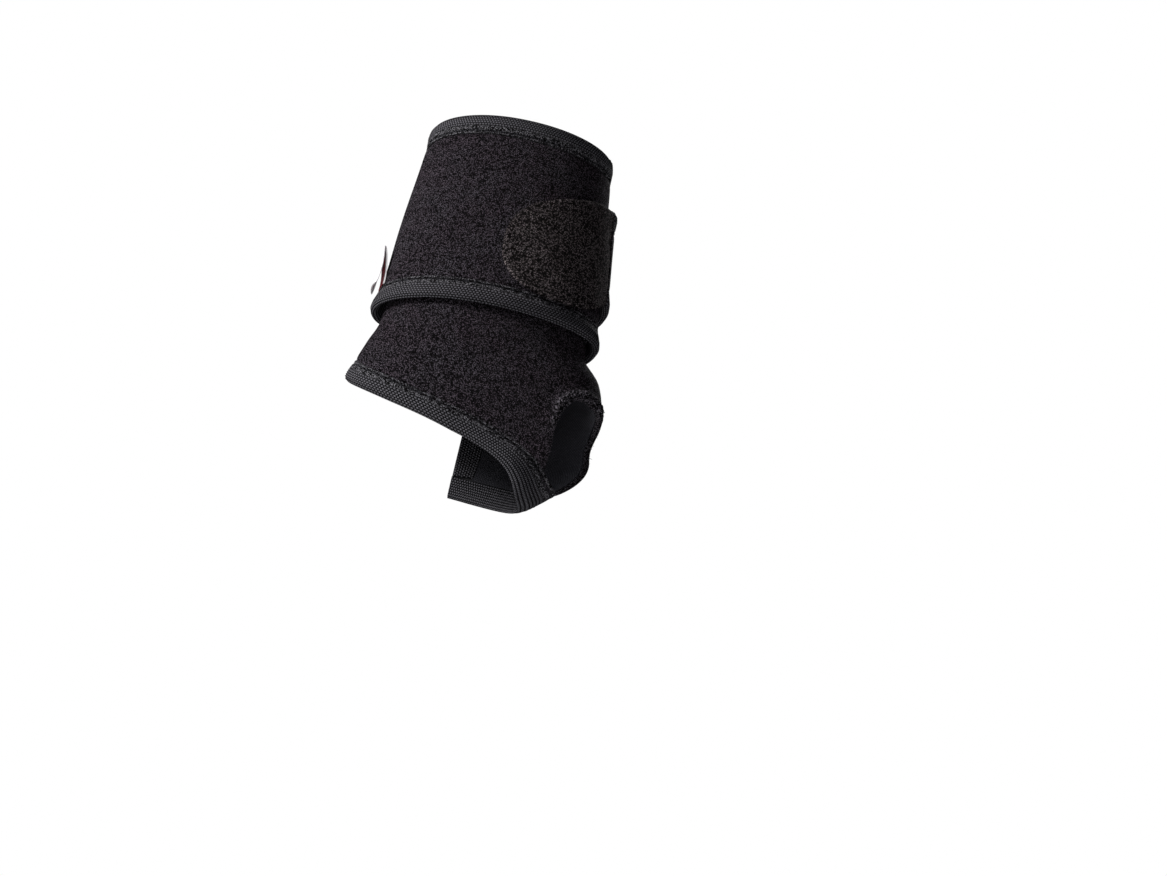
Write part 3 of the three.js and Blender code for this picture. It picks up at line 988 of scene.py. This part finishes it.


# Binding tape: brushed from its edge to the ribs, knit rows from there on; painted shade in the knit holes
# and between the loops, and a line of painted shade along the groove of the seam.
def ribbedTape():
    material, tree, shader = startMaterial("ribbed tape")
    place = flatMapOf(tree)
    rows = placed(tree, knit, Vector=place, Row_Pitch=tapeLook["row"], Stitch_Pitch=tapeLook["stitch"])
    nap = placed(tree, loops, Vector=place, Loop_Size=tapeLook["loop"], Patch_Size=tapeLook["patch"])
    across = addNode(tree, "SeparateXYZ", {0: place}).outputs[1]
    ribsFrom, fade = tapeLook["ribsFrom"], tapeLook["ribsFade"]
    ribbed = ramp(tree, across, ribsFrom - fade, ribsFrom + fade)
    # painted shade along the seam's groove
    fromGroove = maths(tree, "ABSOLUTE", maths(tree, "SUBTRACT", across, tapeLook["grooveAt"]))
    paintedGrooveShade = ramp(tree, fromGroove, tapeLook["grooveHalf"] * 0.5, tapeLook["grooveHalf"], 1.0, 0.0)
    knitted = mixColours(tree, rows.outputs["Holes"], tapeLook["thread"], tapeLook["hole"])
    brushed = mixColours(tree, nap.outputs["Tips"], tapeLook["hole"], tapeLook["nap"])
    cloth = mixColours(tree, ribbed, brushed, knitted)
    colour = mixColours(tree, paintedGrooveShade, cloth, tapeLook["hole"])
    tree.links.new(dusted(tree, place, colour, tapeLook["dust"]), shader.inputs["Base Color"])
    tree.links.new(ramp(tree, rows.outputs["Holes"], 0, 1, 0.72, 0.95), shader.inputs["Roughness"])
    knitHeight = maths(tree, "MULTIPLY", rows.outputs["Height"], ribbed)
    height = maths(tree, "MULTIPLY_ADD", nap.outputs["Height"], 0.4, knitHeight)
    bumpInto(tree, shader, height, tapeLook["relief"])
    return material


jerseyLook = {
    "row": 0.0006,
    "stitch": 0.0012,
    "yarn": (0.020, 0.020, 0.024, 1),
    "worn": (0.034, 0.034, 0.039, 1),
    # hole: painted shade in the knit's holes
    "hole": (0.006, 0.006, 0.008, 1),
    "relief": 0.0002,
}


# Smooth jersey: fine knit ribs with painted shade in the holes between the stitches, a soft gloss.
def jerseyLining():
    material, tree, shader = startMaterial("jersey lining", 0.15, (0.7, 0.7, 0.8, 1))
    place = flatMapOf(tree)
    rows = placed(tree, knit, Vector=place, Row_Pitch=jerseyLook["row"], Stitch_Pitch=jerseyLook["stitch"])
    nap = placed(tree, loops, Vector=place, Loop_Size=0.0007, Patch_Size=0.03)
    worn = mixColours(tree, nap.outputs["Patches"], jerseyLook["yarn"], jerseyLook["worn"])
    colour = mixColours(tree, rows.outputs["Holes"], worn, jerseyLook["hole"])
    tree.links.new(colour, shader.inputs["Base Color"])
    tree.links.new(ramp(tree, nap.outputs["Patches"], 0, 1, 0.62, 0.8), shader.inputs["Roughness"])
    bumpInto(tree, shader, rows.outputs["Height"], jerseyLook["relief"])
    return material


foamLook = {
    "scale": 2800.0,
    "paintedCellShade": (0.012, 0.012, 0.013, 1),
    "wall": (0.04, 0.04, 0.042, 1),
    "relief": 0.0002,
}


# Foam edge: closed cells a third of a millimetre across, with painted shade in the cut cells and lighter
# walls between them.
def foamCore():
    material, tree, shader = startMaterial("foam core")
    place = addNode(tree, "TexCoord").outputs["Object"]
    cells = addNode(tree, "TexVoronoi", {"Vector": place, "Scale": foamLook["scale"]})
    colour = mixColours(tree, cells.outputs["Distance"], foamLook["paintedCellShade"], foamLook["wall"])
    tree.links.new(colour, shader.inputs["Base Color"])
    tree.links.new(ramp(tree, cells.outputs["Distance"], 0, 1, 0.8, 0.95), shader.inputs["Roughness"])
    bumpInto(tree, shader, cells.outputs["Distance"], foamLook["relief"])
    return material


hookLook = {
    "row": 0.0011,
    "stem": 0.0014,
    "fresh": (0.030, 0.028, 0.026, 1),
    "worn": (0.05, 0.047, 0.044, 1),
    "paintedValleyShade": (0.006, 0.0055, 0.005, 1),
    "relief": 0.0009,
}


# Moulded hooks: a grid of small stems with painted shade in the dark valleys between them.
def hookPatch():
    material, tree, shader = startMaterial("moulded hooks")
    place = flatMapOf(tree)
    rows = placed(tree, knit, Vector=place, Row_Pitch=hookLook["row"], Stitch_Pitch=hookLook["stem"])
    nap = placed(tree, loops, Vector=place, Loop_Size=0.0012, Patch_Size=0.02)
    stems = mixColours(tree, nap.outputs["Patches"], hookLook["fresh"], hookLook["worn"])
    colour = mixColours(tree, rows.outputs["Holes"], stems, hookLook["paintedValleyShade"])
    tree.links.new(colour, shader.inputs["Base Color"])
    tree.links.new(ramp(tree, rows.outputs["Height"], 0, 1, 0.75, 0.35), shader.inputs["Roughness"])
    bumpInto(tree, shader, rows.outputs["Height"], hookLook["relief"])
    return material


threadLook = {
    "scale": 900.0,
    "distortion": 2.0,
    # low: painted shade in the twist's grooves
    "low": (0.004, 0.004, 0.005, 1),
    "high": (0.022, 0.022, 0.026, 1),
    "relief": 0.00015,
}


# Twisted thread: slanting bands along each stitch, with painted shade in the low grooves of the twist.
def sewingThread():
    material, tree, shader = startMaterial("sewing thread", 0.05, (0.8, 0.8, 0.9, 1))
    place = addNode(tree, "TexCoord").outputs["Object"]
    bands = {"Vector": place, "Scale": threadLook["scale"], "Distortion": threadLook["distortion"]}
    twist = addNode(tree, "TexWave", bands, bands_direction="DIAGONAL")
    colour = mixColours(tree, twist.outputs["Fac"], threadLook["low"], threadLook["high"])
    tree.links.new(colour, shader.inputs["Base Color"])
    tree.links.new(ramp(tree, twist.outputs["Fac"], 0, 1, 0.5, 0.7), shader.inputs["Roughness"])
    bumpInto(tree, shader, twist.outputs["Fac"], threadLook["relief"])
    return material


labelLook = {
    "red": (0.33, 0.012, 0.028, 1),
    "white": (0.72, 0.72, 0.74, 1),
    "gap": (0.1, 0.02, 0.03, 1),  # painted shade between the threads
    "border": 0.0011,
    "row": 0.0002,
    "stitch": 0.00025,
    "dust": {"size": 0.002, "amount": 0.2, "colour": (0.4, 0.4, 0.4, 1)},
    "relief": 0.0001,
}


# Woven label: red field with a white border on the front leaf, pale back leaf, fine weave with painted
# shade between the threads.
def wovenLabel():
    material, tree, shader = startMaterial("woven label", 0.2)
    place = flatMapOf(tree)
    parts = addNode(tree, "SeparateXYZ", {0: place})
    fold = label["height"] * mm
    fromMiddle = maths(tree, "ABSOLUTE", parts.outputs[0])
    fromSide = maths(tree, "SUBTRACT", label["width"] / 2 * mm, fromMiddle)
    inside = maths(tree, "GREATER_THAN", fromSide, labelLook["border"])
    front = maths(tree, "LESS_THAN", parts.outputs[1], fold - labelLook["border"])
    field = maths(tree, "MULTIPLY", inside, front)
    weave = placed(tree, knit, Vector=place, Row_Pitch=labelLook["row"], Stitch_Pitch=labelLook["stitch"])
    colour = mixColours(tree, field, labelLook["white"], labelLook["red"])
    gaps = maths(tree, "MULTIPLY", weave.outputs["Holes"], 0.3)
    shaded = mixColours(tree, gaps, colour, labelLook["gap"])
    tree.links.new(dusted(tree, place, shaded, labelLook["dust"]), shader.inputs["Base Color"])
    tree.links.new(ramp(tree, weave.outputs["Height"], 0, 1, 0.65, 0.45), shader.inputs["Roughness"])
    bumpInto(tree, shader, weave.outputs["Height"], labelLook["relief"])
    return material


materials = {
    "pile": brushedCloth("brushed loop pile", clothLooks["pile"]),
    "felt": brushedCloth("needled felt", clothLooks["felt"]),
    "rim": brushedCloth("turned-out pile with painted light", clothLooks["rim"]),
    "tape": ribbedTape(),
    "jersey": jerseyLining(),
    "foam": foamCore(),
    "hook": hookPatch(),
    "thread": sewingThread(),
    "label": wovenLabel(),
}
print("materials ready")


# Passes a piece to follow and hides the imported nodes that it stands for.
def finishPiece(piece, segment, nodes):
    follow(piece, segment)
    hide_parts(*nodes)


def addThread(piece, segment):
    follow(piece, segment)
    return piece


def buildSegment(segment):
    name = segment["name"]
    for ply, slot in (("lining", "jersey"), ("foam", "foam"), ("pile", "pile")):
        piece = plyPiece(ply, segment, materials[slot])
        finishPiece(piece, segment, [f"{name}_{ply}"])
    for side, which in ((1, "lower"), (-1, "upper")):
        thread = addThread(stitchRow(segment, side, materials["thread"]), segment)
        piece = edgeTape(segment, side, materials["tape"])
        finishPiece(piece, segment, [f"{name}_{which}_binding"])
    print("segment", name, "built")


for segment in segments:
    buildSegment(segment)

finishPiece(startTape(materials["tape"]), segments[0], ["start_end_binding"])
for rimPiece in (rolledRim(materials["rim"]), rimFuzz(materials["rim"])):
    follow(rimPiece, segments[0])
finishPiece(tabLayer("hooks", materials["hook"]), tabSegment, ["tab_hook_patch"])
finishPiece(tabLayer("felt", materials["felt"]), tabSegment, ["tab_felt_back"])
finishPiece(labelPiece(materials["label"]), segments[2], ["side_label"])
print("tab, label and rim built")

# camera: looks up at the back of the wrap from in front and below, and leans to the side
camera = {
    "azimuth": 7.0,
    "elevation": -24.5,
    "distance": 1.22,
    "roll": 12.6,
    "lens": 97.2,
    "aimRight": 0.0372,
    "aimDown": 0.0563,
}


def addCamera():
    azimuth, elevation, roll = (math.radians(camera[key]) for key in ("azimuth", "elevation", "roll"))
    flat = math.cos(elevation)
    outwards = Vector((math.sin(azimuth) * flat, -math.cos(azimuth) * flat, math.sin(elevation)))
    level = Vector((math.cos(azimuth), math.sin(azimuth), 0))
    upright = outwards.cross(level)
    right = level * math.cos(roll) + upright * math.sin(roll)
    up = upright * math.cos(roll) - level * math.sin(roll)
    aim = right * camera["aimRight"] - up * camera["aimDown"]
    place = outwards * camera["distance"]
    back = (place - aim).normalized()
    side = (right - right.project(back)).normalized()
    turned = Matrix((side, back.cross(side), back)).transposed()
    data = bpy.data.cameras.new("camera")
    data.lens = camera["lens"]
    data.clip_start = 0.01
    made = bpy.data.objects.new("camera", data)
    made.matrix_world = Matrix.Translation(place) @ turned.to_4x4()
    bpy.context.scene.collection.objects.link(made)
    bpy.context.scene.camera = made


lamps = {
    "key": {"place": (-1.35, -0.8, 0.55), "size": 0.5, "power": 68, "colour": (1.0, 0.985, 0.97)},
    "fill": {"place": (0.1, -1.4, 0.1), "size": 1.2, "power": 5, "colour": (0.95, 0.97, 1.0)},
    "rim": {"place": (0.4, 1.1, 1.3), "size": 0.9, "power": 30, "colour": (1.0, 1.0, 1.0)},
}
surround = {"seen": (1.0, 1.0, 1.0, 1), "lit": 0.05}


def addLamps():
    for name, facts in lamps.items():
        data = bpy.data.lights.new(name, "AREA")
        data.size = facts["size"]
        data.energy = facts["power"]
        data.color = facts["colour"]
        lamp = bpy.data.objects.new(name, data)
        place = Vector(facts["place"])
        lamp.matrix_world = Matrix.Translation(place) @ place.to_track_quat("Z", "Y").to_matrix().to_4x4()
        bpy.context.scene.collection.objects.link(lamp)


# Pale surround: bright where the lens sees it, dimmer as a light.
def addSurround():
    world = bpy.data.worlds.new("studio")
    world.use_nodes = True
    bpy.context.scene.world = world
    tree = world.node_tree
    seen = addNode(tree, "LightPath").outputs["Is Camera Ray"]
    strength = ramp(tree, seen, 0.0, 1.0, surround["lit"], 1.0)
    backdrop = next(n for n in tree.nodes if n.type == "BACKGROUND")
    backdrop.inputs["Color"].default_value = surround["seen"]
    tree.links.new(strength, backdrop.inputs["Strength"])


floorFacts = {"half": 3.0, "below": 0.75, "colour": (0.8, 0.8, 0.8, 1), "roughness": 0.9}


def addFloor():
    mesh = bpy.data.meshes.new("floor")
    half, level = floorFacts["half"], packedLow.z - floorFacts["below"]
    corners = [(-half, -half, level), (half, -half, level), (half, half, level), (-half, half, level)]
    mesh.from_pydata(corners, [], [(0, 1, 2, 3)])
    floor = bpy.data.objects.new("floor", mesh)
    material = bpy.data.materials.new("pale floor")
    material.use_nodes = True
    shader = next(n for n in material.node_tree.nodes if n.type == "BSDF_PRINCIPLED")
    shader.inputs["Base Color"].default_value = floorFacts["colour"]
    shader.inputs["Roughness"].default_value = floorFacts["roughness"]
    mesh.materials.append(material)
    bpy.context.scene.collection.objects.link(floor)


addCamera()
addLamps()
addSurround()
addFloor()
bpy.context.scene.view_settings.view_transform = "Standard"
print("camera, light and floor ready")
